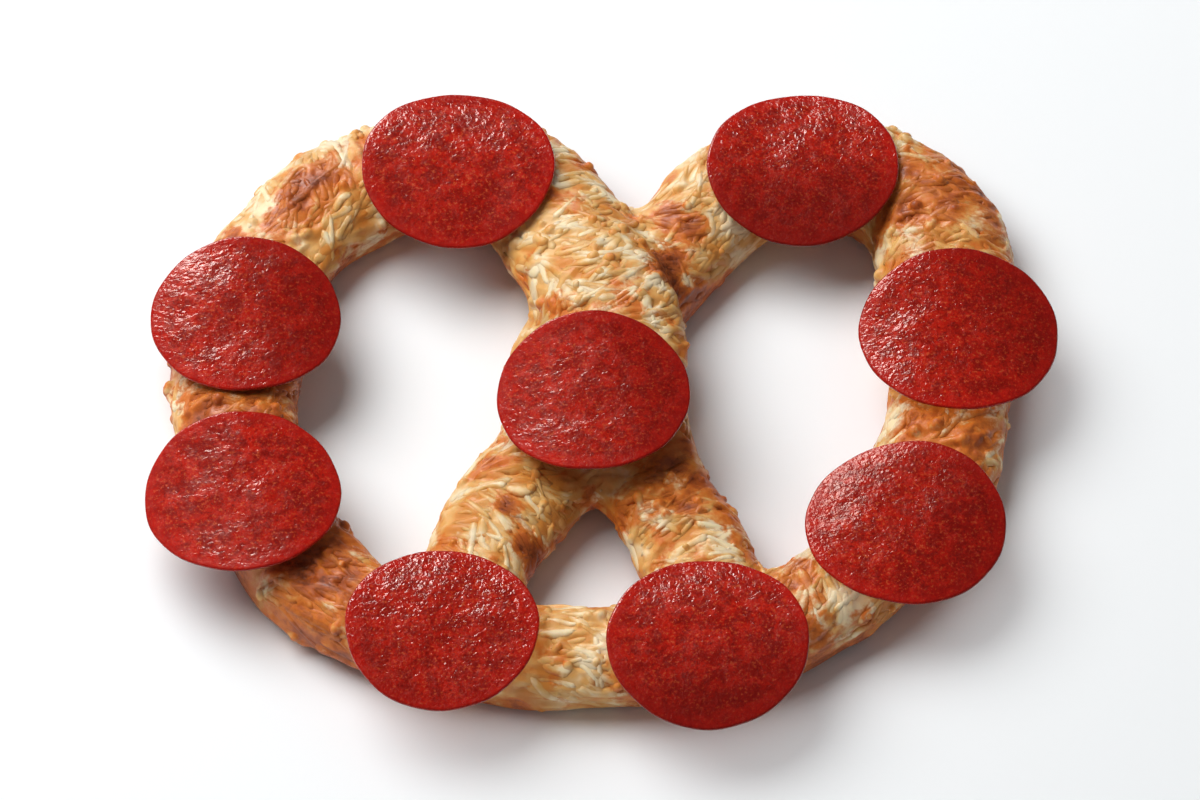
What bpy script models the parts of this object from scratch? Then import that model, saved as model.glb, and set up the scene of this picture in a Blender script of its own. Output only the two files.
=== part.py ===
"""A baked soft pretzel topped with nine round pepperoni slices.

One rope of dough is laid as a loop: a belly at the front, a lobe on each
side, and two arms that cross once at the waist and end pressed onto the
belly.  It is one solid.  Each pepperoni slice is a thin round disc bent
gently over the rope under it and is a solid of its own.

Metres, +Z up.  The pretzel lies flat on z = 0 with its belly toward -Y.
"""

import math

import bpy
import numpy as np
from mathutils import Vector
from mathutils.bvhtree import BVHTree

MM = 0.001

# ---- driving dimensions (millimetres) ---------------------------------------
ROPE_SCALE = 1.0  # multiplies every half width of the rope
ROPE_HEIGHT = 0.9  # multiplies every height of the rope
SECTION_POWER = 2.25  # 2 is an ellipse, larger is squarer
SECTION_POINTS = 28  # points round one ring of the rope
RING_STEP = 2.0  # spacing of rings along the rope
LUMP_HEIGHT = 0.55  # gentle swelling of the hand rolled dough
END_TAPER = 9.0  # length over which a rope end rounds off
FUSE_VOXEL = 1.6  # cell that melts the crossing strands into one crust
FUSE_SMOOTH = 4
PRETZEL_TRIANGLES = 6000

SLICE_DIAMETER = 36.0
SLICE_THICKNESS = 1.3
SLICE_BEND_RADIUS = 80.0  # how gently a slice sags over the rope
SLICE_RINGS = 4
SLICE_SPOKES = 22
SLICE_GAP = 0.35  # clearance kept between a slice and the crust

# ---- the rope: x, y, height of the middle, half width, half height ----------
# Both strands start at the middle of the belly and run outward.
LEFT_STRAND = [
    (-1.9, -63.4, 6.4, 10.1, 8.4),  # belly middle
    (-14.0, -63.2, 6.4, 10.1, 8.4),
    (-26.0, -61.2, 6.4, 10.2, 8.4),
    (-37.6, -57.0, 6.4, 10.5, 8.4),
    (-47.6, -50.8, 6.4, 10.8, 8.4),
    (-56.0, -41.0, 6.6, 11.2, 8.6),
    (-63.6, -26.0, 6.8, 12.0, 8.8),
    (-67.7, -6.0, 6.8, 12.3, 8.8),  # left side
    (-66.5, 14.0, 6.8, 12.3, 8.8),
    (-58.8, 29.8, 6.8, 11.7, 8.8),
    (-50.2, 40.6, 6.8, 11.8, 8.8),
    (-40.0, 47.0, 6.8, 12.1, 8.8),
    (-27.4, 48.6, 7.0, 12.3, 9.0),  # top of the left lobe
    (-15.4, 44.8, 7.4, 12.4, 9.2),
    (-8.8, 37.0, 8.4, 12.8, 9.2),
    (-4.4, 26.0, 11.2, 13.1, 8.8),
    (1.0, 12.5, 14.4, 13.0, 8.2),  # crossing, on top
    (4.6, -2.0, 13.6, 12.2, 8.2),
    (6.2, -15.0, 10.8, 11.2, 8.2),
    (10.2, -27.6, 8.4, 10.9, 8.2),
    (16.0, -39.5, 7.6, 11.0, 8.2),
    (20.8, -51.0, 8.8, 10.8, 7.6),
    (24.4, -60.5, 10.0, 10.4, 6.6),  # end pressed on the belly
]
RIGHT_STRAND = [
    (-1.9, -63.4, 6.4, 10.1, 8.4),  # belly middle
    (11.0, -63.7, 6.4, 10.1, 8.4),
    (24.5, -60.8, 6.4, 10.1, 8.4),
    (37.6, -53.6, 6.4, 10.1, 8.4),
    (49.0, -43.8, 6.5, 10.6, 8.5),
    (58.8, -29.6, 6.7, 11.5, 8.7),
    (63.8, -10.8, 6.8, 12.0, 8.8),
    (65.3, 9.5, 6.8, 12.6, 8.8),  # right side
    (64.0, 27.0, 6.8, 13.0, 8.8),
    (60.0, 38.4, 6.8, 12.8, 8.8),
    (52.2, 46.0, 6.8, 12.2, 8.8),
    (38.6, 48.4, 6.9, 11.8, 8.8),  # top of the right lobe
    (25.6, 42.8, 7.0, 11.5, 8.8),
    (15.8, 32.2, 6.8, 11.5, 8.6),
    (7.4, 22.6, 6.2, 11.8, 8.2),
    (-0.2, 14.0, 5.4, 12.2, 7.6),  # crossing, underneath
    (-4.8, 4.0, 5.6, 12.3, 7.8),
    (-6.2, -6.0, 6.0, 11.8, 8.0),
    (-8.4, -15.0, 6.6, 11.2, 8.2),
    (-13.6, -26.0, 6.9, 11.1, 8.4),
    (-19.6, -37.0, 7.6, 11.2, 8.2),
    (-24.0, -48.5, 8.8, 10.8, 7.6),
    (-27.2, -58.5, 10.0, 10.4, 6.6),  # end pressed on the belly
]

# ---- slices: name, x, y, diameter share, bend axis, nod, roll ----------------
# The bend axis follows the rope under the slice, in degrees from +X.  A nod
# lowers the front edge and a roll lowers the right one, in degrees.
SLICES = [
    ("pepperoni_1", -26.4, 41.7, 1.0, -4.0, 1.0, 0.0),
    ("pepperoni_2", -65.6, 8.5, 0.99, 88.0, 0.0, 0.0),
    ("pepperoni_3", -65.6, -32.9, 1.015, 107.0, 0.0, -3.0),
    ("pepperoni_4", -28.7, -64.2, 0.985, -14.0, 2.0, 0.0),
    ("pepperoni_5", 19.8, -67.0, 1.03, 8.0, 3.0, 0.0),
    ("pepperoni_6", 56.0, -39.2, 1.03, 52.0, 0.0, 0.0),
    ("pepperoni_7", 66.4, 4.8, 1.035, 92.0, 0.0, 2.0),
    ("pepperoni_8", 37.8, 43.2, 0.995, 6.0, 0.0, 0.0),
    ("pepperoni_9", -1.2, -13.4, 1.0, 95.0, 1.0, -3.0),
]


def catmull(points, step):
    """Points evenly spaced along a smooth curve through the given ones."""
    p = np.array(points, float)
    ext = np.vstack([2 * p[0] - p[1], p, 2 * p[-1] - p[-2]])
    fine = []
    for i in range(len(p) - 1):
        a, b, c, d = ext[i : i + 4]
        for t in np.linspace(0, 1, 24, endpoint=False):
            fine.append(
                0.5
                * (
                    2 * b
                    + (c - a) * t
                    + (2 * a - 5 * b + 4 * c - d) * t * t
                    + (3 * b - a - 3 * c + d) * t**3
                )
            )
    fine.append(p[-1])
    fine = np.array(fine)
    run = np.concatenate([[0], np.cumsum(np.linalg.norm(np.diff(fine[:, :3], axis=0), axis=1))])
    count = max(8, int(round(run[-1] / step)))
    at = np.linspace(0, run[-1], count)
    return np.stack([np.interp(at, run, fine[:, k]) for k in range(p.shape[1])], 1), at


def strand_rings(points, phase):
    """Rings of points round the rope, in millimetres."""
    path, at = catmull(points, RING_STEP)
    total = at[-1]
    tangent = np.gradient(path[:, :2], axis=0)
    tangent /= np.linalg.norm(tangent, axis=1, keepdims=True)
    rings = []
    path[:, 2] *= ROPE_HEIGHT
    path[:, 4] *= ROPE_HEIGHT
    for k, (x, y, z, half_w, half_h) in enumerate(path):
        left = total - at[k]
        taper = 1.0
        if left < END_TAPER:
            taper = math.sqrt(max(0.0, 1 - ((END_TAPER - left) / END_TAPER) ** 2)) * 0.96 + 0.04
        side = np.array([-tangent[k, 1], tangent[k, 0]])
        ring = []
        for j in range(SECTION_POINTS):
            t = 2 * math.pi * j / SECTION_POINTS
            c, s = math.cos(t), math.sin(t)
            u = math.copysign(abs(c) ** (2 / SECTION_POWER), c)
            v = math.copysign(abs(s) ** (2 / SECTION_POWER), s)
            lump = LUMP_HEIGHT * (
                math.sin(at[k] / 7.3 + phase + 1.7 * math.sin(t + phase))
                + 0.6 * math.sin(at[k] / 4.1 + 2.3 * phase + 2 * t)
            )
            wide = (half_w * ROPE_SCALE + lump) * taper
            high = (half_h + 0.5 * lump) * taper
            ring.append((x + side[0] * u * wide, y + side[1] * u * wide, z + v * high))
        rings.append(ring)
    return rings


def tube_faces(rings, start):
    """Quads between rings, with a fan closing each end."""
    n = len(rings[0])
    faces = []
    for k in range(len(rings) - 1):
        for j in range(n):
            a = start + k * n + j
            b = start + k * n + (j + 1) % n
            faces.append((a, b, b + n, a + n))
    faces.append(tuple(start + j for j in reversed(range(n))))
    last = start + (len(rings) - 1) * n
    faces.append(tuple(last + j for j in range(n)))
    return faces


def new_object(name, verts, faces):
    mesh = bpy.data.meshes.new(name)
    mesh.from_pydata([tuple(v) for v in verts], [], faces)
    mesh.update()
    obj = bpy.data.objects.new(name, mesh)
    bpy.context.scene.collection.objects.link(obj)
    return obj


def outward(obj):
    """Turns the faces outward by the sign of the volume."""
    mesh = obj.data
    mesh.calc_loop_triangles()
    co = np.array([v.co[:] for v in mesh.vertices])
    tri = co[np.array([t.vertices[:] for t in mesh.loop_triangles])]
    if np.einsum("ij,ij->i", tri[:, 0], np.cross(tri[:, 1], tri[:, 2])).sum() < 0:
        mesh.flip_normals()


def baked(obj):
    """Replaces the object's mesh with what its modifiers make of it."""
    graph = bpy.context.evaluated_depsgraph_get()
    mesh = bpy.data.meshes.new_from_object(obj.evaluated_get(graph))
    obj.modifiers.clear()
    obj.data = mesh


def material(name, rgb, roughness):
    mat = bpy.data.materials.new(name)
    mat.use_nodes = True
    shader = mat.node_tree.nodes["Principled BSDF"]
    shader.inputs["Base Color"].default_value = (*rgb, 1.0)
    shader.inputs["Roughness"].default_value = roughness
    return mat


def build_pretzel():
    verts, faces = [], []
    for points, phase in ((LEFT_STRAND, 0.4), (RIGHT_STRAND, 2.9)):
        rings = strand_rings(points, phase)
        faces += tube_faces(rings, len(verts))
        verts += [p for ring in rings for p in ring]
    obj = new_object("pretzel", np.array(verts) * MM, faces)
    fuse = obj.modifiers.new("fuse", "REMESH")
    fuse.mode = "VOXEL"
    fuse.voxel_size = FUSE_VOXEL * MM
    fuse.adaptivity = 0.0
    soften = obj.modifiers.new("soften", "SMOOTH")
    soften.factor = 0.5
    soften.iterations = FUSE_SMOOTH
    baked(obj)
    triangles = sum(len(p.vertices) - 2 for p in obj.data.polygons)
    fewer = obj.modifiers.new("fewer", "DECIMATE")
    fewer.ratio = PRETZEL_TRIANGLES / triangles
    fewer.use_collapse_triangulate = True
    baked(obj)
    # The dough lies on the tray, so its underside is flat.
    for v in obj.data.vertices:
        v.co.z = max(v.co.z, 0.0)
    outward(obj)
    return obj


def slice_points(share, bend_turn, nod, roll, phase):
    """Points of one slice about its own centre, in millimetres, and its faces."""
    n = SLICE_SPOKES
    radius = SLICE_DIAMETER * share / 2
    half = SLICE_THICKNESS / 2
    turn = math.radians(bend_turn)
    nod, roll = math.radians(nod), math.radians(roll)
    points = []

    def place(r, t, z):
        rim = 1 + 0.004 * math.sin(3 * t + phase) + 0.004 * math.sin(5 * t + 2 * phase)
        x, y = r * rim * math.cos(t), r * rim * math.sin(t)
        # u runs along the rope, v across it.
        u = x * math.cos(turn) + y * math.sin(turn)
        v = -x * math.sin(turn) + y * math.cos(turn)
        angle = v / SLICE_BEND_RADIUS
        reach = SLICE_BEND_RADIUS + z
        v, w = reach * math.sin(angle), reach * math.cos(angle) - SLICE_BEND_RADIUS
        w += 0.12 * math.sin(2 * t + phase) * (r / radius) ** 2
        x = u * math.cos(turn) - v * math.sin(turn)
        y = u * math.sin(turn) + v * math.cos(turn)
        y, w = y * math.cos(nod) - w * math.sin(nod), y * math.sin(nod) + w * math.cos(nod)
        x, w = x * math.cos(roll) + w * math.sin(roll), w * math.cos(roll) - x * math.sin(roll)
        points.append((x, y, w))

    radii = [radius * (k + 1) / SLICE_RINGS for k in range(SLICE_RINGS)]
    radii[-1] = radius - 0.45 * half
    place(0, 0, half)
    for r in radii:
        for j in range(n):
            place(r, 2 * math.pi * j / n, half)
    for j in range(n):
        place(radius, 2 * math.pi * j / n, 0)
    for r in reversed(radii):
        for j in range(n):
            place(r, 2 * math.pi * j / n, -half)
    place(0, 0, -half)

    loops = 2 * SLICE_RINGS + 1
    faces = [(0, 1 + j, 1 + (j + 1) % n) for j in range(n)]
    for k in range(loops - 1):
        for j in range(n):
            a, b = 1 + k * n + j, 1 + k * n + (j + 1) % n
            faces += [(a, a + n, b + n), (a, b + n, b)]
    last = 1 + (loops - 1) * n
    end = last + n
    faces += [(last + (j + 1) % n, last + j, end) for j in range(n)]
    return np.array(points), faces


def drop_onto(points, faces, tree, crust):
    """How high the slice stands so that it clears the crust everywhere."""
    lift = -1e9
    for p in points:
        hit = tree.ray_cast(Vector((p[0], p[1], 90.0)), Vector((0, 0, -1)))[0]
        if hit is not None:
            lift = max(lift, hit.z + SLICE_GAP - p[2])
    under = BVHTree.FromPolygons([Vector(p) for p in points], faces)
    for c in crust:
        hit = under.ray_cast(Vector((c[0], c[1], -90.0)), Vector((0, 0, 1)))[0]
        if hit is not None:
            lift = max(lift, c[2] + SLICE_GAP - hit.z)
    return lift


def main():
    for obj in list(bpy.data.objects):
        bpy.data.objects.remove(obj, do_unlink=True)
    crust_mat = material("baked_crust", (0.62, 0.30, 0.09), 0.45)
    meat_mat = material("cured_meat", (0.36, 0.035, 0.02), 0.35)

    pretzel = build_pretzel()
    pretzel.data.materials.append(crust_mat)
    crust = np.array([v.co[:] for v in pretzel.data.vertices]) / MM
    tree = BVHTree.FromPolygons(
        [Vector(c) for c in crust], [p.vertices[:] for p in pretzel.data.polygons]
    )

    made = [pretzel]
    for k, (name, x, y, share, bend_turn, nod, roll) in enumerate(SLICES):
        points, faces = slice_points(share, bend_turn, nod, roll, 1.3 * k + 0.5)
        points[:, 0] += x
        points[:, 1] += y
        points[:, 2] += drop_onto(points, faces, tree, crust)
        obj = new_object(name, points * MM, faces)
        outward(obj)
        obj.data.materials.append(meat_mat)
        made.append(obj)

    # The middle of the footprint is put at x = y = 0.
    every = np.array([v.co[:] for obj in made for v in obj.data.vertices])
    middle = (every.min(0) + every.max(0)) / 2
    for obj in made:
        for v in obj.data.vertices:
            v.co.x -= middle[0]
            v.co.y -= middle[1]
        for p in obj.data.polygons:
            p.use_smooth = True


main()
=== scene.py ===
"""The looks of the soft pretzel: melted shredded cheese baked over the rope of dough, and nine glossy pepperoni slices."""

import math

import bpy
import numpy as np
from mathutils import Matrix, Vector
from mathutils.bvhtree import BVHTree
from mathutils.kdtree import KDTree


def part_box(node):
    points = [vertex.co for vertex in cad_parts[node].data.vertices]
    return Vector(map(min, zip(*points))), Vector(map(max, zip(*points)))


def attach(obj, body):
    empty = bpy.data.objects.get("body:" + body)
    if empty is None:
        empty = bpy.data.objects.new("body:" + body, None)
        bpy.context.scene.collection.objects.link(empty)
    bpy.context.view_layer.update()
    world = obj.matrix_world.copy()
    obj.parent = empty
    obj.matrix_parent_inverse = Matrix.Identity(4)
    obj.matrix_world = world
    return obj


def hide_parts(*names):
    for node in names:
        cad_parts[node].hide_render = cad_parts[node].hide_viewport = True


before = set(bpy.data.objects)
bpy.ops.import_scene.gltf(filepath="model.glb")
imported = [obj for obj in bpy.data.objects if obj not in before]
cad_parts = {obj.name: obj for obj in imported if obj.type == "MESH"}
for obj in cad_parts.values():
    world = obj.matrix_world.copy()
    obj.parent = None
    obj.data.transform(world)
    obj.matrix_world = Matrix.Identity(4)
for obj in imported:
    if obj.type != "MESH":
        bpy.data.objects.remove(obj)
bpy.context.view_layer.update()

MM = 0.001
rng = np.random.default_rng(4711)

# ---- sizes, millimetres ------------------------------------------------------
DOUGH_INSET = 0.85  # the dough lies this far inside the CAD crust, cheese fills it up
MELTED = 2600  # shreds that ran together
MELTED_LENGTH = (5.0, 18.0)
MELTED_HALF_WIDTH = (0.45, 0.95)
MELTED_HALF_HEIGHT = (0.36, 0.6)
NODULES = 420
MELT_VOXEL = 0.36
CRUST_TRIANGLES = 196000
SLICE_BEND_RADIUS = 80.0
SLICE_THICKNESS = 0.75


# ---- noise ---------------------------------------------------------------------
def lattice(i, j, k, seed):
    h = (i * 374761393 + j * 668265263 + k * 1103515245 + seed * 362437) & 0xFFFFFFFF
    h = ((h ^ (h >> 13)) * 1274126177) & 0xFFFFFFFF
    h = h ^ (h >> 16)
    return (h & 0xFFFF) / 65535.0


def noise(p, size, seed=0):
    """Smooth value noise from 0 to 1 with features of the given size."""
    q = np.asarray(p, float) / size + 1000.37
    c = np.floor(q).astype(np.int64)
    f = q - c
    f = f * f * (3 - 2 * f)
    total = 0.0
    for dx in (0, 1):
        wx = f[:, 0] if dx else 1 - f[:, 0]
        for dy in (0, 1):
            wy = f[:, 1] if dy else 1 - f[:, 1]
            for dz in (0, 1):
                wz = f[:, 2] if dz else 1 - f[:, 2]
                total = total + wx * wy * wz * lattice(c[:, 0] + dx, c[:, 1] + dy, c[:, 2] + dz, seed)
    return total


# Turns each layer of noise against the last, so that no grid shows.
TURN = np.array([[0.78, 0.54, -0.32], [-0.48, 0.84, 0.25], [0.40, -0.04, 0.91]])
TURN = np.linalg.qr(TURN)[0]


def fractal(p, size, seed=0, octaves=3):
    total, weight, amount = 0.0, 0.0, 1.0
    p = np.asarray(p, float) @ TURN
    for k in range(octaves):
        total = total + amount * noise(p, size / 2**k, seed + 17 * k)
        weight += amount
        amount *= 0.55
        p = p @ TURN
    return total / weight


def ramp(x, low, high):
    t = np.clip((x - low) / (high - low), 0, 1)
    return t * t * (3 - 2 * t)


# ---- mesh helpers ----------------------------------------------------------------
def arrays(obj):
    """Points in millimetres and the triangles of an object's own mesh."""
    mesh = obj.data
    co = np.empty(len(mesh.vertices) * 3, np.float32)
    mesh.vertices.foreach_get("co", co)
    mesh.calc_loop_triangles()
    tri = np.empty(len(mesh.loop_triangles) * 3, np.int32)
    mesh.loop_triangles.foreach_get("vertices", tri)
    return co.reshape(-1, 3).astype(float) / MM, tri.reshape(-1, 3)


def make(name, points, faces):
    mesh = bpy.data.meshes.new(name)
    mesh.from_pydata((np.asarray(points) * MM).tolist(), [], faces)
    mesh.update()
    obj = bpy.data.objects.new(name, mesh)
    bpy.context.scene.collection.objects.link(obj)
    return obj


def baked(obj):
    graph = bpy.context.evaluated_depsgraph_get()
    mesh = bpy.data.meshes.new_from_object(obj.evaluated_get(graph))
    obj.modifiers.clear()
    old = obj.data
    obj.data = mesh
    bpy.data.meshes.remove(old)
    return obj


def voxel(obj, size):
    m = obj.modifiers.new("voxel", "REMESH")
    m.mode = "VOXEL"
    m.voxel_size = size * MM
    m.adaptivity = 0.0
    return baked(obj)


def smooth(obj, times, factor=0.5):
    m = obj.modifiers.new("smooth", "SMOOTH")
    m.iterations = times
    m.factor = factor
    return baked(obj)


def normals_of(obj):
    n = np.empty(len(obj.data.vertices) * 3, np.float32)
    obj.data.vertices.foreach_get("normal", n)
    return n.reshape(-1, 3).astype(float)


def tree_of(points, faces):
    return BVHTree.FromPolygons([Vector(p) for p in points], [tuple(int(i) for i in f) for f in faces])


def attribute(obj, name, values):
    a = obj.data.attributes.new(name, "FLOAT", "POINT")
    a.data.foreach_set("value", np.asarray(values, np.float32))


def smooth_shaded(obj):
    obj.data.polygons.foreach_set("use_smooth", [True] * len(obj.data.polygons))


# ---- the dough under the cheese -------------------------------------------------
crust_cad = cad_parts["pretzel"]
points, tris = arrays(crust_cad)
_, first, inverse = np.unique(np.round(points, 3), axis=0, return_index=True, return_inverse=True)
inverse = inverse.reshape(-1)
dough = make("dough", points[first], inverse[tris].tolist())
voxel(dough, 0.9)
smooth(dough, 6)
dough_points, dough_tris = arrays(dough)
dough_normals = normals_of(dough)
inset = DOUGH_INSET * ramp(dough_points[:, 2], 0.6, 5.0)
dough_points = dough_points - dough_normals * inset[:, None]
dough_points += dough_normals * (0.7 * (fractal(dough_points, 9.0, 5) - 0.5))[:, None]
dough_points[:, 2] = np.maximum(dough_points[:, 2], 0.05)
dough_tree = tree_of(dough_points, dough_tris)

# ---- melted shreds and nodules ---------------------------------------------------
corner = dough_points[dough_tris]
area_normal = np.cross(corner[:, 1] - corner[:, 0], corner[:, 2] - corner[:, 0])
area = np.linalg.norm(area_normal, axis=1) / 2
unit = area_normal / (2 * area[:, None] + 1e-9)
low_side = ramp(corner[:, :, 2].mean(1), 2.0, 6.5) * ramp(unit[:, 2], -0.35, 0.25)
weight = area * low_side
weight /= weight.sum()


def start_points(count):
    pick = rng.choice(len(weight), count, p=weight)
    a, b = rng.random(count), rng.random(count)
    flip = a + b > 1
    a[flip], b[flip] = 1 - a[flip], 1 - b[flip]
    t = corner[pick]
    return t[:, 0] + a[:, None] * (t[:, 1] - t[:, 0]) + b[:, None] * (t[:, 2] - t[:, 0])


def lay(p, sway, spread):
    """The way a shred lies: mostly slantwise, flatter on the front left arm."""
    heading = math.radians(rng.normal(32, spread)) + 4.0 * sway
    return heading - math.radians(32) if p[1] < -4 and p[0] < 2 else heading


verts, faces = [dough_points], [f for f in dough_tris.tolist()]
count = len(dough_points)
line_points, line_tone = [], []
AROUND = 9
seeds = start_points(MELTED)
drift = fractal(seeds, 24.0, 31, 2) - 0.5
for s, p0 in enumerate(seeds):
    length = rng.triangular(MELTED_LENGTH[0], 9.0, MELTED_LENGTH[1])
    half_w = rng.uniform(*MELTED_HALF_WIDTH)
    half_h = rng.uniform(*MELTED_HALF_HEIGHT)
    heading = lay(p0, drift[s], 16)
    bend = rng.normal(0, 0.035)
    rise = rng.uniform(-0.25, 0.25)
    tone = rng.beta(1.3, 1.3)
    steps = max(5, int(length / 0.85))
    step = length / (steps - 1)
    at = Vector(p0)
    way = Vector((math.cos(heading), math.sin(heading), 0.0))
    centre, side, up = [], [], []
    for k in range(steps):
        hit, nrm, _, _ = dough_tree.find_nearest(at)
        if hit.z < 1.6:
            break
        way = way - nrm * way.dot(nrm)
        if way.length < 1e-3:
            break
        way.normalize()
        across = nrm.cross(way)
        centre.append(hit + nrm * (rise + 0.12 * math.sin(k * 0.9 + s)))
        side.append(across)
        up.append(nrm)
        way = (way + across * bend).normalized()
        at = hit + way * step
    n = len(centre)
    if n < 4:
        continue
    ring = []
    for k in range(n):
        e = min(k, n - 1 - k) / 2.2
        fat = math.sqrt(1 - (1 - min(1.0, e)) ** 2) * 0.85 + 0.15
        wob = 1 + 0.13 * math.sin(k * 1.3 + s * 2.1)
        for j in range(AROUND):
            t = 2 * math.pi * j / AROUND
            ring.append(centre[k] + side[k] * (math.cos(t) * half_w * fat * wob) + up[k] * (math.sin(t) * half_h * fat))
        line_points.append(tuple(centre[k]))
        line_tone.append(tone)
    verts.append(np.array(ring))
    for k in range(n - 1):
        for j in range(AROUND):
            a, b = count + k * AROUND + j, count + k * AROUND + (j + 1) % AROUND
            faces.append((a, b, b + AROUND, a + AROUND))
    faces.append(tuple(count + j for j in reversed(range(AROUND))))
    faces.append(tuple(count + (n - 1) * AROUND + j for j in range(AROUND)))
    count += len(ring)

# Nodules: crisp little lumps of cheese, scattered the same way as the shreds.
LAT, LON = 5, 8
for p0 in start_points(NODULES):
    hit, nrm, _, _ = dough_tree.find_nearest(Vector(p0))
    if hit.z < 2.2:
        continue
    r = rng.uniform(0.5, 1.25)
    a = nrm.orthogonal().normalized()
    b = nrm.cross(a)
    stretch = rng.uniform(0.8, 1.5)
    c = hit + nrm * (0.35 * r + 0.25)
    ring = [c + nrm * (0.8 * r)]
    for i in range(1, LAT):
        th = math.pi * i / LAT
        for j in range(LON):
            ph = 2 * math.pi * j / LON
            ring.append(c + nrm * (0.8 * r * math.cos(th)) + a * (r * stretch * math.sin(th) * math.cos(ph)) + b * (r * math.sin(th) * math.sin(ph)))
    ring.append(c - nrm * (0.8 * r))
    verts.append(np.array(ring))
    for j in range(LON):
        faces.append((count, count + 1 + j, count + 1 + (j + 1) % LON))
        end = count + 1 + (LAT - 2) * LON
        faces.append((end + (j + 1) % LON, end + j, end + LON))
    for i in range(LAT - 2):
        for j in range(LON):
            q, w = count + 1 + i * LON + j, count + 1 + i * LON + (j + 1) % LON
            faces.append((q, q + LON, w + LON, w))
    count += len(ring)

crust = make("pretzel_crust", np.concatenate(verts), faces)
bpy.data.objects.remove(dough)
voxel(crust, MELT_VOXEL)
smooth(crust, 2, 0.5)

# ---- pepperoni -------------------------------------------------------------------
# name, diameter, bend axis, nod, roll
SLICES = [
    ("pepperoni_1", 36.0, -4.0, 1.0, 0.0),
    ("pepperoni_2", 35.6, 88.0, 0.0, 0.0),
    ("pepperoni_3", 36.5, 107.0, 0.0, -3.0),
    ("pepperoni_4", 35.5, -14.0, 2.0, 0.0),
    ("pepperoni_5", 37.1, 8.0, 3.0, 0.0),
    ("pepperoni_6", 37.1, 52.0, 0.0, 0.0),
    ("pepperoni_7", 37.3, 92.0, 0.0, 2.0),
    ("pepperoni_8", 35.8, 6.0, 0.0, 0.0),
    ("pepperoni_9", 36.0, 95.0, 1.0, -3.0),
]
# Painted shade: the side of each slice that is painted darker, as a curved slice turns from the light: direction in
# degrees, strength.
PAINTED_SHADE_SIDE = [(250, 0.3), (0, 0.75), (-20, 0.3), (-90, 0.3), (-80, 0.9), (-10, 0.75), (20, 0.75), (-90, 1.0), (0, 0.7)]
SPOKES, TOP_RINGS, EDGE_RINGS, BOTTOM_RINGS = 180, 64, 6, 8


def slice_mesh(name, diameter, bend_turn, nod, roll, seed):
    n = SPOKES
    radius = diameter / 2
    half = SLICE_THICKNESS / 2
    turn, nod, roll = (math.radians(v) for v in (bend_turn, nod, roll))
    t = 2 * math.pi * np.arange(n) / n
    profile = []  # radius share inset and height
    for k in range(1, TOP_RINGS + 1):
        profile.append(((radius - half) * (k / TOP_RINGS) ** 0.9, half))
    for k in range(1, EDGE_RINGS):
        a = math.pi * k / EDGE_RINGS
        profile.append((radius - half + half * math.sin(a), half * math.cos(a)))
    for k in range(BOTTOM_RINGS, 0, -1):
        profile.append(((radius - half) * k / BOTTOM_RINGS, -half))
    flat = [np.array([[0.0, 0.0, half]])]
    for r, h in profile:
        flat.append(np.stack([r * np.cos(t), r * np.sin(t), np.full(n, h)], 1))
    flat.append(np.array([[0.0, 0.0, -half]]))
    flat = np.concatenate(flat)
    r = np.hypot(flat[:, 0], flat[:, 1])
    ang = np.arctan2(flat[:, 1], flat[:, 0])
    share = r / radius
    rim = 1 + 0.004 * np.sin(3 * ang + seed) * share + 0.004 * np.sin(5 * ang + 2 * seed) * share + 0.003 * np.sin(11 * ang + 3 * seed) * share
    x, y, z = flat[:, 0] * rim, flat[:, 1] * rim, flat[:, 2].copy()
    key = np.stack([x + 100 * seed, y, np.zeros_like(x)], 1)
    on_top = z > 0
    # Cured meat: soft swells, then the grain of chopped fat and lean.
    z += np.where(on_top, 0.9 * (fractal(key, 10.0, 3, 2) - 0.5), 0.0) * (1 - share**4)
    grain = 0.12 * (fractal(key, 2.6, 9, 2) - 0.5) + 0.07 * (fractal(key, 1.2, 21, 2) - 0.5)
    z += np.where(on_top, grain, 0.0) * (1 - 0.7 * share**6)
    u = x * math.cos(turn) + y * math.sin(turn)
    v = -x * math.sin(turn) + y * math.cos(turn)
    reach = SLICE_BEND_RADIUS + z
    w = reach * np.cos(v / SLICE_BEND_RADIUS) - SLICE_BEND_RADIUS
    v = reach * np.sin(v / SLICE_BEND_RADIUS)
    w = w + 0.12 * np.sin(2 * ang + seed) * share**2 + 0.12 * np.sin(3 * ang + 1.7 * seed) * share**3
    x = u * math.cos(turn) - v * math.sin(turn)
    y = u * math.sin(turn) + v * math.cos(turn)
    y, w = y * math.cos(nod) - w * math.sin(nod), y * math.sin(nod) + w * math.cos(nod)
    x, w = x * math.cos(roll) + w * math.sin(roll), w * math.cos(roll) - x * math.sin(roll)
    low, high = (np.array(c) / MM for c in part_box(name))
    placed = np.stack([x, y, w], 1)
    placed[:, :2] += (low[:2] + high[:2]) / 2 - (placed[:, :2].min(0) + placed[:, :2].max(0)) / 2
    placed[:, 2] += high[2] - placed[:, 2].max()
    rings = len(profile)
    faces = [(0, 1 + j, 1 + (j + 1) % n) for j in range(n)]
    for k in range(rings - 1):
        for j in range(n):
            a, b = 1 + k * n + j, 1 + k * n + (j + 1) % n
            faces.append((a, a + n, b + n, b))
    last = 1 + (rings - 1) * n
    faces += [(last + (j + 1) % n, last + j, last + n) for j in range(n)]
    obj = make(name + "_meat", placed, faces)
    smooth_shaded(obj)
    attribute(obj, "share", share)
    # Painted shade: a darker side on each slice.
    way, much = PAINTED_SHADE_SIDE[int(name[-1]) - 1]
    along = (flat[:, 0] * math.cos(math.radians(way)) + flat[:, 1] * math.sin(math.radians(way))) / radius
    attribute(obj, "painted_shade", much * ramp(along + 0.5 * (fractal(key, 7.0, 5, 2) - 0.5), -0.5, 0.9))
    attribute(obj, "grain", grain)
    return obj, placed, faces


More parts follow.
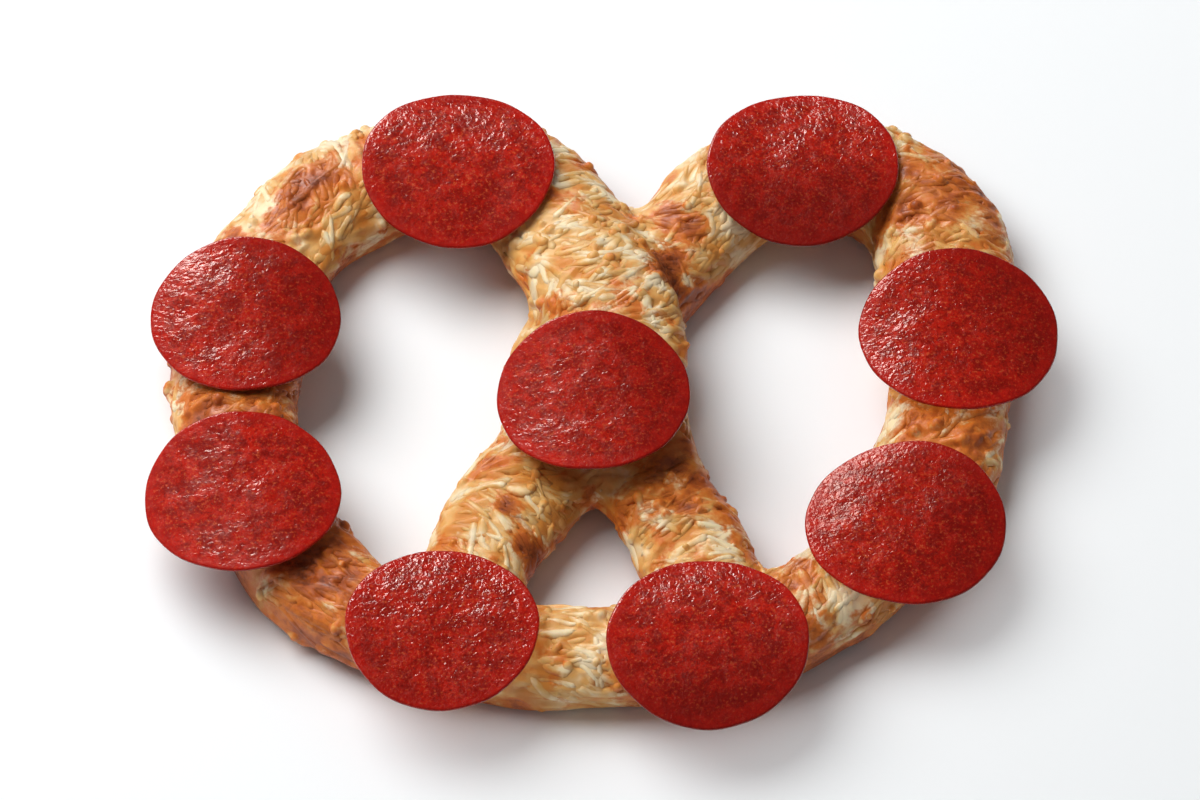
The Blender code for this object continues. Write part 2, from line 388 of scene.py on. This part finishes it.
slices = []
shelves = []
for i, (name, diameter, bend_turn, nod, roll) in enumerate(SLICES):
    obj, placed, slice_faces = slice_mesh(name, diameter, bend_turn, nod, roll, 0.7 + 1.9 * i)
    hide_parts(name)
    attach(obj, "root")
    slices.append(obj)
    shelves.append((placed[:, :2].mean(0), diameter / 2, tree_of(placed, slice_faces)))

# What lies under a slice is pressed down by it.
def pressed(points):
    for middle, radius, shelf in shelves:
        near = np.where((np.hypot(*(points[:, :2] - middle).T) < radius + 0.5) & (points[:, 2] > 8))[0]
        for k in near:
            p = points[k]
            hit = shelf.ray_cast(Vector((p[0], p[1], -20.0)), Vector((0, 0, 1)))[0]
            if hit is not None and p[2] > hit.z - 0.12:
                points[k, 2] = hit.z - 0.12
    points[:, 2] = np.maximum(points[:, 2], 0.0)
    return points


crust_points, _ = arrays(crust)
crust_points = pressed(crust_points)
crust.data.vertices.foreach_set("co", (crust_points * MM).astype(np.float32).ravel())
crust.data.update()

total = sum(len(p.vertices) - 2 for p in crust.data.polygons)
fewer = crust.modifiers.new("fewer", "DECIMATE")
fewer.ratio = min(1.0, CRUST_TRIANGLES / total)
fewer.use_collapse_triangulate = True
baked(crust)
smooth_shaded(crust)
crust_points, crust_tris = arrays(crust)
crust_normals = normals_of(crust)
crust_tree = tree_of(crust_points, crust_tris)

# ---- shreds that kept some of their shape -------------------------------------------
def under_slice(p, inside=1.5):
    return any(np.hypot(p[0] - m[0], p[1] - m[1]) < r - inside for m, r, _ in shelves)


def strands(number, length_range, usual, width_range, height_range, spread, tones, pitch, upper, lower, toasted_limit):
    """Shreds lying on the crust: points, faces, and how pale each point is."""
    rings, sides, body_of_point = [], [], []
    first, laid = 0, 0
    starts = start_points(4 * number)
    sway = fractal(starts, 24.0, 31, 2) - 0.5
    toast = browning(starts, np.tile([0.0, 0.0, 1.0], (len(starts), 1)))
    for s, p0 in enumerate(starts):
        if laid == number:
            break
        length = rng.triangular(length_range[0], usual, length_range[1])
        half_w = rng.uniform(*width_range)
        high = rng.uniform(*height_range) * (0.7 + 0.3 * half_w)
        heading = lay(p0, sway[s], spread)
        bend = rng.normal(0, 0.05)
        tone = rng.uniform(*tones)
        edge = rng.uniform(1.5, 2.6)
        if toast[s] > toasted_limit or under_slice(p0):
            continue
        steps = max(7, int(length / pitch))
        step = length / (steps - 1)
        at = Vector(p0)
        way = Vector((math.cos(heading), math.sin(heading), 0.0))
        seat, side, up, lift = [], [], [], []
        for k in range(steps):
            hit, nrm, _, _ = dough_tree.find_nearest(at)
            if hit.z < 2.5:
                break
            way = way - nrm * way.dot(nrm)
            if way.length < 1e-3:
                break
            way.normalize()
            across = nrm.cross(way)
            top = crust_tree.ray_cast(hit + nrm * 4.0, -nrm, 6.0)[0]
            seat.append(hit)
            side.append(across)
            up.append(nrm)
            lift.append(0.3 if top is None else (top - hit).dot(nrm))
            way = (way + across * bend).normalized()
            at = hit + way * step
        n = len(seat)
        if n < 5:
            continue
        lift = np.convolve(np.pad(lift, 2, mode="edge"), np.ones(5) / 5, "valid")
        around = upper + lower
        for k in range(n):
            e = (min(k, n - 1 - k) * step + 0.1) / (1.1 * half_w)
            fat = math.sqrt(1 - (1 - min(1.0, e)) ** 2)
            wide = half_w * fat * (1 + 0.16 * math.sin(k * 0.9 * step + s * 2.1))
            tall = high * (0.1 + 0.9 * fat) * (1 + 0.22 * math.sin(k * 0.7 * step + s * 1.3))
            c = seat[k] + up[k] * float(lift[k] - 0.08)
            for j in range(around):
                if j < upper:
                    across = 1 - 2 * j / (upper - 1)
                    rise = tall * (1 - abs(across) ** edge) - 0.6 * abs(across) ** 4
                    # Painted in part: paleness peaks along the middle of the shred and falls off to its edges.
                    body = (1 - abs(across) ** 2.0) * fat
                else:
                    across = -1 + 2 * (j - upper + 1) / (lower + 1)
                    rise, body = -1.0, 0.0
                rings.append(c + side[k] * (across * wide) + up[k] * rise)
                body_of_point.append(tone * body)
        for k in range(n - 1):
            for j in range(around):
                a, b = first + k * around + j, first + k * around + (j + 1) % around
                sides.append((a, a + around, b + around, b))
        sides.append(tuple(first + j for j in range(around)))
        sides.append(tuple(first + (n - 1) * around + j for j in reversed(range(around))))
        first += n * around
        laid += 1
    return pressed(np.array(rings)), sides, np.array(body_of_point)


# ---- where the cheese browned --------------------------------------------------------
# Broad browned places, and with a minus sign pale ones: x and y from the middle slice, reach, strength.
BROWN = [
    (-53, 47, 15, 0.3),
    (-68, 7, 14, 0.25),
    (-60, 1, 9, 0.42),
    (-50, -38, 16, 0.5),
    (62, 55, 14, 0.4),
    (64, 58, 8, 0.3),
    (60, 44, 6, -0.25),
    (72, 32, 14, 0.25),
    (66, -6, 9, 0.36),
    (18, 45, 5, 0.45),
    (13, 34, 5, 0.6),
    (46, -48, 9, 0.3),
    (27, -25, 7, 0.35),
    (-12, -28, 5, 0.12),
    (14, -12, 9, 0.35),
    (-6, 36, 12, -0.18),
    (28, 48, 9, -0.35),
    (-20, -20, 10, -0.15),
    (-24, -25, 7, -0.25),
    (-4, -52, 8, -0.15),
]
# Small dark toasted spots.
TOASTED = [(-11.8, -29, 3.0, 0.7), (-16.3, -21.5, 1.6, 0.45), (-52.3, 53.5, 3.2, 0.35), (12.4, 35.5, 2.4, 0.5), (13.9, 30.5, 2.6, 0.5), (-0.8, -15, 2.0, 0.4)]
low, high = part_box("pepperoni_9")
middle = [(a + b) / 2 / MM for a, b in zip(low[:2], high[:2])]


def browning(p, n):
    brown = np.full(len(p), 0.27)
    warp = p[:, :2] - middle + 2.2 * np.stack([fractal(p, 4.0, 61, 2) - 0.5, fractal(p, 4.0, 71, 2) - 0.5], 1)
    for x, y, reach, strength in BROWN + TOASTED:
        brown += strength * np.exp(-((warp[:, 0] - x) ** 2 + (warp[:, 1] - y) ** 2) / reach**2)
    brown += 1.3 * (fractal(p, 8.0, 51, 3) - 0.5)
    brown += 0.7 * (fractal(p, 2.8, 77, 2) - 0.5)
    # Browner where the surface faces sideways or down.
    brown += 0.26 * (1 - ramp(n[:, 2], -0.25, 0.5))
    return brown


melt_points, melt_faces, melt_body = strands(800, (5.0, 18.0), 9.0, (0.7, 1.4), (0.1, 0.22), 20, (0.0, 0.6), 0.85, 5, 1, 9.0)
shred_points, shred_faces, shred_body = strands(280, (4.0, 11.0), 6.5, (0.8, 1.4), (0.2, 0.36), 30, (0.3, 0.9), 0.6, 8, 2, 0.5)

line = KDTree(len(line_points))
for k, p in enumerate(line_points):
    line.insert(p, k)
line.balance()
relief = np.empty(len(crust_points))
strand = np.empty(len(crust_points))
for k, p in enumerate(crust_points):
    v = Vector(p)
    hit, nrm, _, _ = dough_tree.find_nearest(v)
    relief[k] = (v - hit).dot(nrm)
    strand[k] = line_tone[line.find(v)[1]]
# Painted shade in part: the crust is browner in the valleys between shreds and paler on their raised tops, over the
# tone of each shred.
crust_brown_and_crevice_shade = browning(crust_points, crust_normals) - 0.2 * ramp(relief, 0.1, 0.9) * strand + 0.08
crust_pale = 0.34 + 0.3 * ramp(relief, 0.0, 0.8) * (strand - 0.3) + 2.1 * (fractal(crust_points, 4.6, 91, 3) - 0.5)
attribute(crust, "brown", np.clip(crust_brown_and_crevice_shade, 0, 1))
attribute(crust, "pale", np.clip(crust_pale, 0, 1))

# A shred takes the tone of the crust at its edges, and is paler along its middle and browner at its edges: part the
# cheese's own tone, part painted shade between shreds and painted light on their tops.
ground = KDTree(len(crust_points))
for k, p in enumerate(crust_points):
    ground.insert(p, k)
ground.balance()


def laid_on(name, strand_points, strand_faces, body):
    obj = make(name, strand_points, strand_faces)
    smooth_shaded(obj)
    under = np.array([ground.find(p)[1] for p in strand_points])
    attribute(obj, "brown", np.clip(crust_brown_and_crevice_shade[under] + 0.06 - 0.24 * body, 0, 1))
    attribute(obj, "pale", np.clip(crust_pale[under] + 0.65 * body, 0, 1))
    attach(obj, "root")
    return obj


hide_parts("pretzel")
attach(crust, "root")
melt = laid_on("melted_shreds", melt_points, melt_faces, melt_body)
shreds = laid_on("whole_shreds", shred_points, shred_faces, shred_body)


# ---- materials ---------------------------------------------------------------------
def srgb(r, g, b):
    out = []
    for v in (r, g, b):
        v /= 255
        out.append(v / 12.92 if v <= 0.04045 else ((v + 0.055) / 1.055) ** 2.4)
    return (*out, 1.0)


class Nodes:
    """A few short calls for wiring a material."""

    def __init__(self, name):
        self.mat = bpy.data.materials.new(name)
        self.mat.use_nodes = True
        self.tree = self.mat.node_tree
        self.shader = self.tree.nodes["Principled BSDF"]

    def new(self, kind, **values):
        node = self.tree.nodes.new(kind)
        for key, value in values.items():
            setattr(node, key, value)
        return node

    def link(self, a, b):
        self.tree.links.new(a, b)

    def attr(self, name):
        return self.new("ShaderNodeAttribute", attribute_name=name).outputs["Fac"]

    def coords(self):
        return self.new("ShaderNodeTexCoord").outputs["Object"]

    def noise(self, scale, detail=2.0, rough=0.5, distort=0.0, vector=None):
        node = self.new("ShaderNodeTexNoise")
        node.inputs["Scale"].default_value = scale
        node.inputs["Detail"].default_value = detail
        node.inputs["Roughness"].default_value = rough
        node.inputs["Distortion"].default_value = distort
        self.link(vector or self.coords(), node.inputs["Vector"])
        return node.outputs["Fac"]

    def stretch(self, value, a, b, c=0.0, d=1.0):
        node = self.new("ShaderNodeMapRange", clamp=True, interpolation_type="SMOOTHSTEP")
        self.link(value, node.inputs["Value"])
        for key, v in zip(("From Min", "From Max", "To Min", "To Max"), (a, b, c, d)):
            node.inputs[key].default_value = v
        return node.outputs["Result"]

    def mix(self, factor, a, b, blend="MIX"):
        node = self.new("ShaderNodeMix", data_type="RGBA", blend_type=blend)
        if isinstance(factor, (int, float)):
            node.inputs[0].default_value = factor
        else:
            self.link(factor, node.inputs[0])
        for socket, value in ((node.inputs[6], a), (node.inputs[7], b)):
            if isinstance(value, tuple):
                socket.default_value = value
            else:
                self.link(value, socket)
        return node.outputs[2]

    def math(self, op, a, b):
        node = self.new("ShaderNodeMath", operation=op)
        for socket, value in zip(node.inputs, (a, b)):
            if isinstance(value, (int, float)):
                socket.default_value = value
            else:
                self.link(value, socket)
        return node.outputs[0]

    def bump(self, height, strength, distance, normal=None):
        node = self.new("ShaderNodeBump")
        node.inputs["Strength"].default_value = strength
        node.inputs["Distance"].default_value = distance
        self.link(height, node.inputs["Height"])
        if normal is not None:
            self.link(normal, node.inputs["Normal"])
        return node.outputs["Normal"]


def crust_material():
    m = Nodes("melted_cheese_crust")
    pale, brown = m.attr("pale"), m.attr("brown")
    fine = m.noise(900, 3, 0.6)
    broad = m.noise(260, 2, 0.5)
    tone = m.math("ADD", pale, m.stretch(broad, 0.3, 0.7, -0.14, 0.14))
    colour = m.mix(m.stretch(tone, 0.0, 0.5), srgb(208, 132, 56), srgb(220, 166, 96))
    colour = m.mix(m.stretch(tone, 0.4, 1.0), colour, srgb(238, 214, 172))
    # The brown attribute carries the browning and, in the valleys between shreds, painted shade.
    toast = m.math("ADD", brown, m.stretch(fine, 0.3, 0.7, -0.09, 0.09))
    colour = m.mix(m.stretch(toast, 0.3, 0.62), colour, srgb(204, 110, 38))
    colour = m.mix(m.stretch(toast, 0.58, 0.88), colour, srgb(166, 80, 30))
    colour = m.mix(m.stretch(toast, 0.88, 1.1), colour, srgb(116, 52, 24))
    m.link(colour, m.shader.inputs["Base Color"])
    m.link(m.stretch(m.noise(420, 3, 0.6), 0.3, 0.7, 0.4, 0.58), m.shader.inputs["Roughness"])
    m.shader.inputs["Subsurface Weight"].default_value = 0.2
    m.shader.inputs["Subsurface Scale"].default_value = 0.003
    m.shader.inputs["Subsurface Radius"].default_value = (1.0, 0.6, 0.3)
    m.shader.inputs["Coat Weight"].default_value = 0.12
    m.shader.inputs["Coat Roughness"].default_value = 0.24
    normal = m.bump(m.noise(700, 3, 0.55), 0.3, 0.0004)
    m.link(normal, m.shader.inputs["Normal"])
    return m.mat


# How bumpy and how oily the top of each slice is.
BUMPY = (0.7, 0.7, 0.6, 1.25, 0.75, 0.9, 0.9, 0.75, 0.6)
OILY = (0.45, 0.4, 0.3, 0.6, 0.55, 0.12, 0.4, 0.5, 0.35)


def meat_material(i):
    m = Nodes("cured_meat_%d" % (i + 1))
    share, grain = m.attr("share"), m.attr("grain")
    coarse = m.noise(330 + 9 * i, 4, 0.65, 0.4)
    fine = m.noise(1500 + 40 * i, 3, 0.6)
    colour = m.mix(m.stretch(coarse, 0.38, 0.64), srgb(132, 20, 14), srgb(174, 28, 16))
    colour = m.mix(m.stretch(fine, 0.54, 0.7, 0.0, 0.56), colour, srgb(200, 88, 48))
    colour = m.mix(m.stretch(fine, 0.46, 0.3, 0.0, 0.7), colour, srgb(96, 18, 16))
    colour = m.mix(m.stretch(share, 0.8, 0.95, 0.0, 0.5), colour, srgb(176, 24, 18))
    colour = m.mix(m.stretch(share, 0.97, 1.0, 0.0, 0.3), colour, srgb(128, 20, 14))
    # Painted shade: one side of the slice darkened towards deep red.
    colour = m.mix(m.math("MULTIPLY", m.attr("painted_shade"), 0.62), colour, srgb(88, 16, 14))
    m.link(colour, m.shader.inputs["Base Color"])
    m.link(m.stretch(m.noise(500, 3, 0.6), 0.3, 0.7, 0.14, 0.28), m.shader.inputs["Roughness"])
    m.shader.inputs["Specular IOR Level"].default_value = 0.3
    m.shader.inputs["Specular Tint"].default_value = (1.0, 0.72, 0.58, 1.0)
    m.shader.inputs["Subsurface Weight"].default_value = 0.12
    m.shader.inputs["Subsurface Scale"].default_value = 0.0015
    m.shader.inputs["Coat Weight"].default_value = OILY[i]
    m.shader.inputs["Coat Roughness"].default_value = 0.07
    normal = m.bump(m.noise(1080 + 20 * i, 2, 0.5, 0.4), min(1.0, BUMPY[i]), 0.00017 * max(1.0, BUMPY[i]))
    m.link(normal, m.shader.inputs["Normal"])
    m.link(normal, m.shader.inputs["Coat Normal"])
    return m.mat


crust.data.materials.clear()
crust.data.materials.append(crust_material())
for obj in (melt, shreds):
    obj.data.materials.append(crust.data.materials[0])
for i, obj in enumerate(slices):
    obj.data.materials.clear()
    obj.data.materials.append(meat_material(i))
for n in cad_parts.values():
    n.data.materials.clear()
    n.data.materials.append(crust.data.materials[0])

# ---- floor, light, camera -------------------------------------------------------------
floor = make("floor", [(-1500, -1500, 0), (1500, -1500, 0), (1500, 1500, 0), (-1500, 1500, 0)], [(0, 1, 2, 3)])
white = bpy.data.materials.new("floor_white")
white.use_nodes = True
white.node_tree.nodes["Principled BSDF"].inputs["Base Color"].default_value = (0.88, 0.9, 0.91, 1)
white.node_tree.nodes["Principled BSDF"].inputs["Roughness"].default_value = 0.9
white.node_tree.nodes["Principled BSDF"].inputs["Specular IOR Level"].default_value = 0.1
floor.data.materials.append(white)

world = bpy.data.worlds.new("studio")
bpy.context.scene.world = world
world.use_nodes = True
world.node_tree.nodes["Background"].inputs["Color"].default_value = (1, 1, 1, 1)
world.node_tree.nodes["Background"].inputs["Strength"].default_value = 0.2
world.cycles_visibility.glossy = False


def lamp(name, direction, distance, size, power):
    data = bpy.data.lights.new(name, "AREA")
    data.shape = "DISK"
    data.size = size
    data.energy = power
    obj = bpy.data.objects.new(name, data)
    d = Vector(direction).normalized()
    obj.location = d * distance
    obj.rotation_mode = "QUATERNION"
    obj.rotation_quaternion = d.to_track_quat("Z", "Y")
    bpy.context.scene.collection.objects.link(obj)
    return obj


# Two lamps in one place: the slices along the outside cast their shadow in the second alone, so it stays faint.
key = lamp("key", (-0.48, 0.32, 0.82), 1.2, 1.2, 12.5)
key.visible_glossy = False
blocking = bpy.data.collections.new("blocking")
for obj in [crust, melt, shreds] + [slices[i] for i in (0, 1, 2, 7, 8)]:
    blocking.objects.link(obj)
key.light_linking.blocker_collection = blocking
fill = lamp("fill", (-0.48, 0.32, 0.82), 1.2, 1.2, 7.5)
fill.visible_glossy = False
sheen = lamp("sheen", (-0.26, 0.80, 0.55), 1.2, 0.36, 6.0)
sheen.visible_diffuse = False

target = Vector(((middle[0] + 1.2) * MM, (middle[1] + 13.4) * MM, 0.0))
camera_data = bpy.data.cameras.new("camera")
camera_data.lens = 500.0
camera_data.sensor_width = 36.0
camera_data.clip_start = 0.1
camera_data.clip_end = 20.0
camera = bpy.data.objects.new("camera", camera_data)
elevation = math.radians(53.0)
back = Vector((0.0, -math.cos(elevation), math.sin(elevation)))
camera.location = target + back * (0.22272 / 2 / (18.0 / 500.0))
camera.rotation_mode = "QUATERNION"
camera.rotation_quaternion = back.to_track_quat("Z", "Y")
bpy.context.scene.collection.objects.link(camera)
bpy.context.scene.camera = camera
bpy.context.scene.view_settings.view_transform = "Standard"
